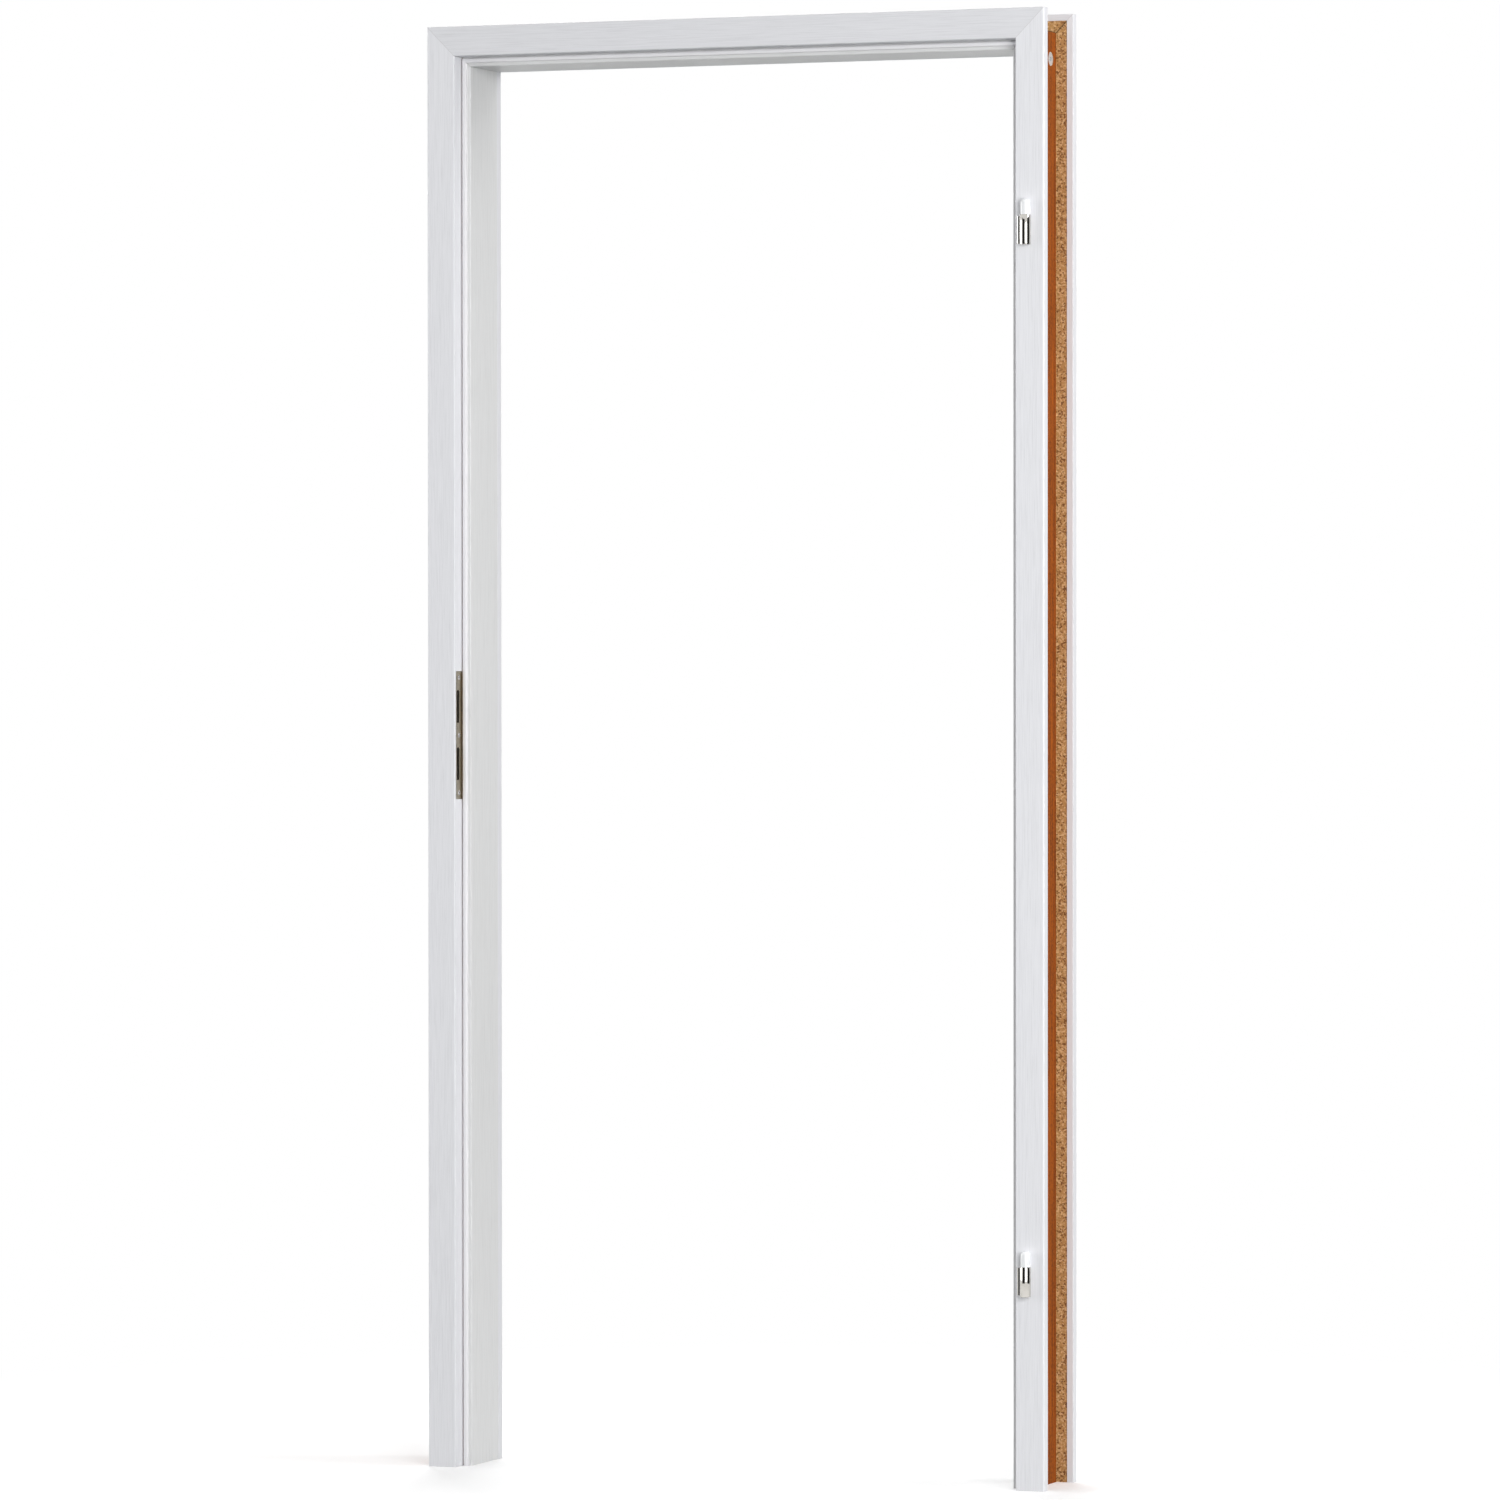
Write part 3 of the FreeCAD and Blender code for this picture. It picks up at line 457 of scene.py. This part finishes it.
def board_look(name, along, raw_mask, paper_mask=None, painted_shadow_mask=None):
    """A foil-wrapped member that shows raw board, paper and a painted shadow in deep cuts where its
    masks say.
    """
    scene = bpy.context.scene
    sizes, colours = scene.door_frame_sizes, scene.door_frame_colours
    look = Look(name)
    out = out_of_opening(look, along)
    # Painted shade: lining boards use the darker reveal copy of the foil
    base = colours.reveal if paper_mask else colours.foil
    foil, relief = foil_colour(look, sizes, colours, along, base)
    raw = raw_mask(look, out, sizes)
    if along == "z":
        raw = raw.either(look.z < sizes.foil_edge * END_GRAIN_REACH)
    board = chipboard_colour(look, sizes, colours)
    # Painted shadow: the deep pockets get a near-black colour in place of their shade
    if painted_shadow_mask:
        pocket_painted_shadow = scaled(colours.chipboard, PAINTED_POCKET_SHADOW)
        board = look.blend(painted_shadow_mask(look, out, sizes), board, pocket_painted_shadow)
    colour = look.blend(raw, foil, board)
    rough = raw * (RAW_ROUGHNESS - FOIL_ROUGHNESS) + FOIL_ROUGHNESS
    if paper_mask:
        paper = paper_mask(look, out, sizes)
        colour = look.blend(paper, colour, paper_colour(look, sizes, colours, along))
        rough = rough.either(paper * PAPER_ROUGHNESS)
    joint = scaled(colours.chipboard, MITRE_SHADE)
    colour = look.blend(mitre_line(look, sizes, raw), colour, joint)
    look.set(Base_Color=colour, Roughness=rough, Specular_IOR_Level=FOIL_SPECULAR)
    look.bump(relief, FOIL_RELIEF, strength=0.8)
    return look


def casing_raw(look, out, sizes):
    """Raw board of a rebate casing: everything behind the wrapped arrises, but not the lip."""
    back = look.y - FRONT_Y
    inside = (back > sizes.foil_turn) * (out > REBATE_OUT + sizes.foil_turn)
    inside = inside * (out < OUTER_OUT - sizes.foil_turn)
    lip_start = OUTER_OUT - sizes.lip_width - sizes.foil_edge
    lip = (back > sizes.casing_thick - sizes.lip_relief / 2) * (out > lip_start)
    return inside * (1 - lip * (back < sizes.casing_thick + sizes.foil_edge))


def casing_pocket_painted_shadow(look, out, sizes):
    """The pockets behind the strike plate and for the hinges, where a near-black colour is painted
    as their shadow.
    """
    return (out < WALL_OUT - sizes.pocket_rest) * (look.z > sizes.foil_edge)


def lining_raw(look, out, sizes):
    """Raw board of a lining: behind the foil of the stop and of the reveal."""
    return (look.y > LINING_Y + sizes.foil_turn) * (out > sizes.foil_edge)


def leg_lining_raw(look, out, sizes):
    """Raw board of a lining leg, which also shows in the narrow gap beside the seal."""
    return lining_raw(look, out, sizes).either(out > REBATE_OUT - sizes.seal_gap)


def lining_paper(look, out, sizes):
    """Backing paper on the wall side of a lining."""
    return out > WALL_OUT - sizes.foil_edge


def trim_raw(look, out, sizes):
    """Raw board of a trim casing on its wall side, inside the lip."""
    inside = (out > sizes.foil_turn / 3) * (out < OUTER_OUT - sizes.foil_turn / 3)
    inside = inside * (look.y < TRIM_BACK_Y - sizes.foil_turn)
    lip_start = OUTER_OUT - sizes.lip_width - sizes.foil_edge
    lip = (look.y < TRIM_Y + sizes.lip_relief / 2) * (out > lip_start)
    return inside * (1 - lip)


def plain_look(name, colour, roughness, metallic=0.0, coat=0.0):
    """A finish of one colour."""
    look = Look(name)
    look.set(Base_Color=colour, Roughness=roughness, Metallic=metallic, Coat_Weight=coat)
    return look


def brushed_look(name, colour, roughness, along="z"):
    """Metal with fine brushing along one axis."""
    look = Look(name)
    pitch = [BRUSH_RUN if axis == along else BRUSH_PITCH for axis in "xyz"]
    brushing = look.noise(pitch)
    tone = look.shades(brushing, colour, BRUSHED_SHADES)
    look.set(Base_Color=tone, Roughness=brushing * BRUSH_ROUGHNESS + roughness, Metallic=1.0)
    return look


def wood_look(name, colour, pitch):
    """Plain wood with grain of the given size."""
    look = Look(name)
    grain = look.noise(pitch, detail=3.0, roughness=0.6)
    look.set(Base_Color=look.shades(grain, colour, WOOD_SHADES), Roughness=0.7)
    look.bump(grain, WOOD_RELIEF)
    return look


def finish_piece(mesh_tool, name, look, slot, *nodes):
    """Turns a bmesh into a piece of the frame that stands for CAD nodes."""
    bmesh.ops.recalc_face_normals(mesh_tool, faces=mesh_tool.faces)
    mesh = bpy.data.meshes.new(name)
    mesh_tool.to_mesh(mesh)
    mesh_tool.free()
    mesh.materials.append(look.material)
    mesh.shade_smooth()
    mesh.set_sharp_from_angle(angle=SMOOTH_ANGLE)
    piece = bpy.data.objects.new(name, mesh)
    bpy.context.scene.collection.objects.link(piece)
    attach(piece, FRAME_BODY)
    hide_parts(*nodes)
    return piece


def spin_profile(mesh_tool, points, centre, steps):
    """Turns a profile of (radius, height) points round an upright axis into a closed shell."""
    before = set(mesh_tool.verts)
    line = [mesh_tool.verts.new((centre.x + radius, centre.y, height)) for radius, height in points]
    edges = [mesh_tool.edges.new(pair) for pair in zip(line, line[1:])]
    bmesh.ops.spin(mesh_tool, geom=line + edges, cent=centre, axis=(0, 0, 1),
                   angle=math.tau, steps=steps, use_merge=True)
    turned = [vertex for vertex in mesh_tool.verts if vertex not in before]
    bmesh.ops.remove_doubles(mesh_tool, verts=turned, dist=1e-6)
    return [vertex for vertex in mesh_tool.verts if vertex not in before]


def bevel_rings(mesh_tool, rings, centre, offset, segments):
    """Rounds the circular edges that lie at the given (radius, height)."""
    chosen = []
    for edge in mesh_tool.edges:
        ends = [((vertex.co.xy - centre.xy).length, vertex.co.z) for vertex in edge.verts]
        for ring in rings:
            if all(math.dist(ring, end) < SAME_PLACE for end in ends):
                chosen.append(edge)
    bmesh.ops.bevel(mesh_tool, geom=chosen, offset=offset, segments=segments, profile=0.5,
                    affect="EDGES", material=-1)


def hinge_centre(which):
    """Axis and bore of a hinge, from its pin."""
    low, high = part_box(f"hinge_pin_{which}")
    centre = (low + high) / 2
    return Vector((centre.x, centre.y, 0)), (high.x - low.x) / 2, high.z


class DOORFRAME_OT_rebate_casings(Operator):
    """Wraps the rebate casings in white foil"""

    bl_idname = "doorframe.rebate_casings"
    bl_label = "Rebate casings"

    def execute(self, context):
        # The leg casings' deep pockets get a painted shadow
        legs = board_look("casing_foil", "z", casing_raw, painted_shadow_mask=casing_pocket_painted_shadow)
        head = board_look("casing_foil_head", "x", casing_raw)
        dress([f"rebate_casing_{leg}" for leg in LEGS], legs)
        dress(["rebate_casing_head"], head)
        return {"FINISHED"}


class DOORFRAME_OT_linings(Operator):
    """Gives the lining boards foil, raw edges and brown backing paper"""

    bl_idname = "doorframe.linings"
    bl_label = "Lining boards"

    def execute(self, context):
        legs = board_look("lining_board", "z", leg_lining_raw, lining_paper)
        head = board_look("lining_board_head", "x", lining_raw, lining_paper)
        dress([f"lining_{leg}" for leg in LEGS], legs)
        dress(["lining_head"], head)
        return {"FINISHED"}


class DOORFRAME_OT_trims(Operator):
    """Wraps the trim casings in white foil and finishes their tongues"""

    bl_idname = "doorframe.trims"
    bl_label = "Trim casings and tongues"

    def execute(self, context):
        colours = context.scene.door_frame_colours
        sizes = context.scene.door_frame_sizes
        legs = board_look("trim_foil", "z", trim_raw)
        head = board_look("trim_foil_head", "x", trim_raw)
        tongue = wood_look("tongue_strip", colours.fibreboard, [sizes.chip_size] * 3)
        dress([f"trim_casing_{leg}" for leg in LEGS], legs)
        dress(["trim_casing_head"], head)
        dress([f"tongue_{place}" for place in (*LEGS, "head")], tongue)
        return {"FINISHED"}


class DOORFRAME_OT_seal(Operator):
    """Gives the seal its soft white finish"""

    bl_idname = "doorframe.seal"
    bl_label = "Seal"

    def execute(self, context):
        look = plain_look("seal_soft", context.scene.door_frame_colours.seal, roughness=0.55)
        dress([f"seal_{place}" for place in (*LEGS, "head")], look)
        return {"FINISHED"}


class DOORFRAME_OT_hinge_barrels(Operator):
    """Makes the nickel barrels with their flat legs"""

    bl_idname = "doorframe.hinge_barrels"
    bl_label = "Hinge barrels"

    def execute(self, context):
        sizes = context.scene.door_frame_sizes
        nickel = context.scene.door_frame_colours.nickel
        look = plain_look("hinge_nickel", nickel, roughness=0.06, metallic=1.0)
        for which in HINGES:
            self.make_barrel(which, sizes, look)
        return {"FINISHED"}

    def make_barrel(self, which, sizes, look):
        low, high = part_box(f"hinge_{which}")
        centre, bore, _ = hinge_centre(which)
        radius = high.x - centre.x
        floor = low.z + sizes.barrel_floor
        shape = bmesh.new()
        profile = [
            (0, low.z), (radius, low.z), (radius, high.z),
            (bore, high.z), (bore, floor), (0, floor),
        ]
        spin_profile(shape, profile, centre, sizes.round_steps)
        bevel_rings(shape, [(radius, low.z), (radius, high.z)], centre, sizes.rim_bevel, 2)
        self.add_leg(shape, sizes, low, high, centre, radius)
        finish_piece(shape, f"barrel_{which}", look, "hinge_nickel", f"hinge_{which}")

    def add_leg(self, shape, sizes, low, high, centre, radius):
        """The flat leg: from the back of the barrel to the rebate's arris, then into the casing."""
        thick = sizes.leg_thick
        tangent = centre.y + radius
        outline = [
            (centre.x, tangent), (centre.x, tangent - thick), (low.x, tangent - thick),
            (low.x, high.y), (low.x + thick, high.y), (low.x + thick, tangent),
        ]
        base = low.z + sizes.leg_setback
        ring = [shape.verts.new((x, y, base)) for x, y in outline]
        face = shape.faces.new(ring)
        bend = ring[2].co.copy()
        made = bmesh.ops.extrude_face_region(shape, geom=[face])["geom"]
        top = [item for item in made if isinstance(item, bmesh.types.BMVert)]
        height = high.z - low.z - sizes.leg_setback * 2
        bmesh.ops.translate(shape, verts=top, vec=(0, 0, height))
        corner = [
            edge for edge in shape.edges
            if all((vertex.co.xy - bend.xy).length < 1e-6 for vertex in edge.verts)
        ]
        bmesh.ops.bevel(shape, geom=corner, offset=thick, segments=8, profile=0.5,
                        affect="EDGES", material=-1)


class DOORFRAME_OT_hinge_sleeves(Operator):
    """Makes the white plastic sleeves on the pins"""

    bl_idname = "doorframe.hinge_sleeves"
    bl_label = "Hinge sleeves"

    def execute(self, context):
        sizes = context.scene.door_frame_sizes
        colours = context.scene.door_frame_colours
        look = plain_look("sleeve_plastic", colours.sleeve, roughness=0.22, coat=0.4)
        for which in HINGES:
            low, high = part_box(f"hinge_sleeve_{which}")
            centre, bore, pin_top = hinge_centre(which)
            radius = (high.x - low.x) / 2
            shape = bmesh.new()
            profile = [(bore, low.z), (radius, low.z), (radius, high.z), (0, high.z)]
            roof = pin_top + sizes.rim_bevel
            profile += [(0, roof), (bore, roof), (bore, low.z)]
            spin_profile(shape, profile, centre, sizes.round_steps)
            bevel_rings(shape, [(radius, high.z)], centre, sizes.sleeve_dome, 10)
            finish_piece(shape, f"sleeve_{which}", look, "sleeve_plastic", f"hinge_sleeve_{which}")
        return {"FINISHED"}


class DOORFRAME_OT_fittings(Operator):
    """Finishes the strike plate, receivers, connectors, screws, pins and dowels"""

    bl_idname = "doorframe.fittings"
    bl_label = "Metal fittings and dowels"

    def execute(self, context):
        colours = context.scene.door_frame_colours
        sizes = context.scene.door_frame_sizes
        strike = brushed_look("strike_steel", colours.strike, roughness=0.26)
        screws = plain_look("screw_steel", colours.steel, roughness=0.22, metallic=1.0)
        zinc = plain_look("connector_zinc", colours.zinc, roughness=0.35, metallic=0.5)
        beech = wood_look("dowel_beech", colours.beech, grain_pitch(sizes, "z"))
        dress(["strike_plate"], strike)
        dress(["strike_screws"], screws)
        for which in HINGES:
            dress([f"hinge_pin_{which}", f"hinge_grubs_{which}"], screws)
            dress([f"hinge_receiver_{which}"], zinc)
        for leg in LEGS:
            dress([f"leg_cams_{leg}", f"head_cams_{leg}"], zinc)
            dress([f"elbow_bolts_{leg}"], screws)
            boards = ("lining", "rebate_casing", "trim_casing")
            dress([f"{board}_dowel_{leg}" for board in boards], beech)
        return {"FINISHED"}


class DOORFRAME_OT_stage(Operator):
    """Sets the floor, the light, the background and the camera"""

    bl_idname = "doorframe.stage"
    bl_label = "Stage"

    def execute(self, context):
        scene = context.scene
        scene.view_settings.view_transform = "Standard"
        stage = scene.door_frame_stage
        self.make_floor(scene.door_frame_colours.floor)
        self.make_world(stage.sky)
        aim = Vector((0, 0, MIDDLE_Z))
        for name, (place, size) in LAMPS.items():
            self.add_lamp(name, Vector(place), aim, size, getattr(stage, f"{name}_power"))
        self.add_screens()
        self.add_camera(stage)
        return {"FINISHED"}

    def add_screens(self):
        """Two dark studio screens that only the bright metal reflects."""
        centre = hinge_centre("upper")[0]
        look = plain_look("screen", SCREEN_BLACK, roughness=1.0)
        for name, (start, sweep) in SCREENS.items():
            shape = bmesh.new()
            turn = math.radians(start)
            base = centre + Vector((math.sin(turn), -math.cos(turn), 0)) * SCREEN_AWAY
            foot, head = shape.verts.new(base), shape.verts.new((base.x, base.y, SCREEN_HEIGHT))
            edge = shape.edges.new((foot, head))
            bmesh.ops.spin(shape, geom=[foot, head, edge], cent=centre, axis=(0, 0, 1),
                           angle=math.radians(sweep), steps=12)
            mesh = bpy.data.meshes.new(name)
            shape.to_mesh(mesh)
            shape.free()
            mesh.materials.append(look.material)
            screen = bpy.data.objects.new(name, mesh)
            bpy.context.scene.collection.objects.link(screen)
            for rays in ("camera", "diffuse", "shadow", "transmission", "volume_scatter"):
                setattr(screen, f"visible_{rays}", False)

    def make_floor(self, colour):
        """A floor that looks white, keeps the shadow near the frame and throws little light up."""
        shape = bmesh.new()
        bmesh.ops.create_grid(shape, x_segments=1, y_segments=1, size=FLOOR_HALF)
        mesh = bpy.data.meshes.new("floor")
        shape.to_mesh(mesh)
        shape.free()
        floor = bpy.data.objects.new("floor", mesh)
        bpy.context.scene.collection.objects.link(floor)
        look = Look("floor")
        look.set(Base_Color=colour, Roughness=1.0, Specular_IOR_Level=0.0)
        length = {"operation": "LENGTH"}
        away = look.add("ShaderNodeVectorMath", length, {0: look.position}, "Value")
        fade = {"Value": away, "From Min": SHADOW_NEAR, "From Max": SHADOW_FAR}
        far = look.add("ShaderNodeMapRange", {"interpolation_type": "SMOOTHSTEP"}, fade)
        shaded = look.add("ShaderNodeBsdfDiffuse", {}, {"Color": [FLOOR_WHITE] * 3})
        lift = look.add("ShaderNodeEmission", {}, {"Color": (1, 1, 1), "Strength": FLOOR_LIFT})
        white = look.add("ShaderNodeEmission", {}, {"Color": (1, 1, 1), "Strength": 1.0})
        lifted = look.add("ShaderNodeAddShader", {}, {0: shaded, 1: lift})
        seen = look.add("ShaderNodeMixShader", {}, {0: far, 1: lifted, 2: white})
        own = Wire(look, look.surface.outputs[0])
        mixed = look.add("ShaderNodeMixShader", {}, {0: look.seen_rays(), 1: own, 2: seen})
        look.feed(look.tree.nodes["Material Output"].inputs["Surface"], mixed)
        mesh.materials.append(look.material)

    def make_world(self, strength):
        """White behind the frame, and an even soft light for the frame itself."""
        world = bpy.data.worlds.new("studio")
        world.use_nodes = True
        bpy.context.scene.world = world
        nodes = Nodes(world.node_tree)
        background = nodes.tree.nodes["Background"]
        nodes.feed(background.inputs["Color"], (1, 1, 1))
        nodes.feed(background.inputs["Strength"], nodes.seen_rays() * (1 - strength) + strength)

    def add_lamp(self, name, place, aim, size, power):
        """A large square soft lamp that faces the frame."""
        lamp = bpy.data.lights.new(name, "AREA")
        lamp.size = size
        lamp.energy = power
        piece = bpy.data.objects.new(name, lamp)
        piece.location = place
        piece.rotation_euler = (aim - place).to_track_quat("-Z", "Y").to_euler()
        bpy.context.scene.collection.objects.link(piece)

    def add_camera(self, stage):
        """The camera of the reference view."""
        camera = bpy.data.cameras.new("camera")
        camera.lens = stage.lens
        camera.shift_x = stage.shift
        camera.clip_end = 200
        piece = bpy.data.objects.new("camera", camera)
        piece.location = stage.camera_place
        piece.rotation_euler = Euler((math.pi / 2 - stage.camera_dip, 0, stage.camera_turn))
        bpy.context.scene.collection.objects.link(piece)
        bpy.context.scene.camera = piece


OPERATORS = (
    DOORFRAME_OT_rebate_casings,
    DOORFRAME_OT_linings,
    DOORFRAME_OT_trims,
    DOORFRAME_OT_seal,
    DOORFRAME_OT_hinge_barrels,
    DOORFRAME_OT_hinge_sleeves,
    DOORFRAME_OT_fittings,
    DOORFRAME_OT_stage,
)
GROUPS = {
    "door_frame_sizes": FrameSizes,
    "door_frame_colours": FrameColours,
    "door_frame_stage": FrameStage,
}


class DOORFRAME_PT_panel(Panel):
    """Sizes, colours and steps of the door frame"""

    bl_idname = "DOORFRAME_PT_panel"
    bl_label = "Door Frame"
    bl_space_type = "VIEW_3D"
    bl_region_type = "UI"
    bl_category = "Door Frame"

    def draw(self, context):
        for name, group in GROUPS.items():
            box = self.layout.box()
            for prop in group.__annotations__:
                box.prop(getattr(context.scene, name), prop)
        for operator in OPERATORS:
            self.layout.operator(operator.bl_idname)


CLASSES = (*GROUPS.values(), *OPERATORS, DOORFRAME_PT_panel)


def register():
    for cls in CLASSES:
        bpy.utils.register_class(cls)
    for name, group in GROUPS.items():
        setattr(bpy.types.Scene, name, PointerProperty(type=group))


def unregister():
    for name in GROUPS:
        delattr(bpy.types.Scene, name)
    for cls in reversed(CLASSES):
        bpy.utils.unregister_class(cls)


def main():
    register()
    for operator in OPERATORS:
        group, name = operator.bl_idname.split(".")
        getattr(getattr(bpy.ops, group), name)()


if __name__ == "__main__":
    main()
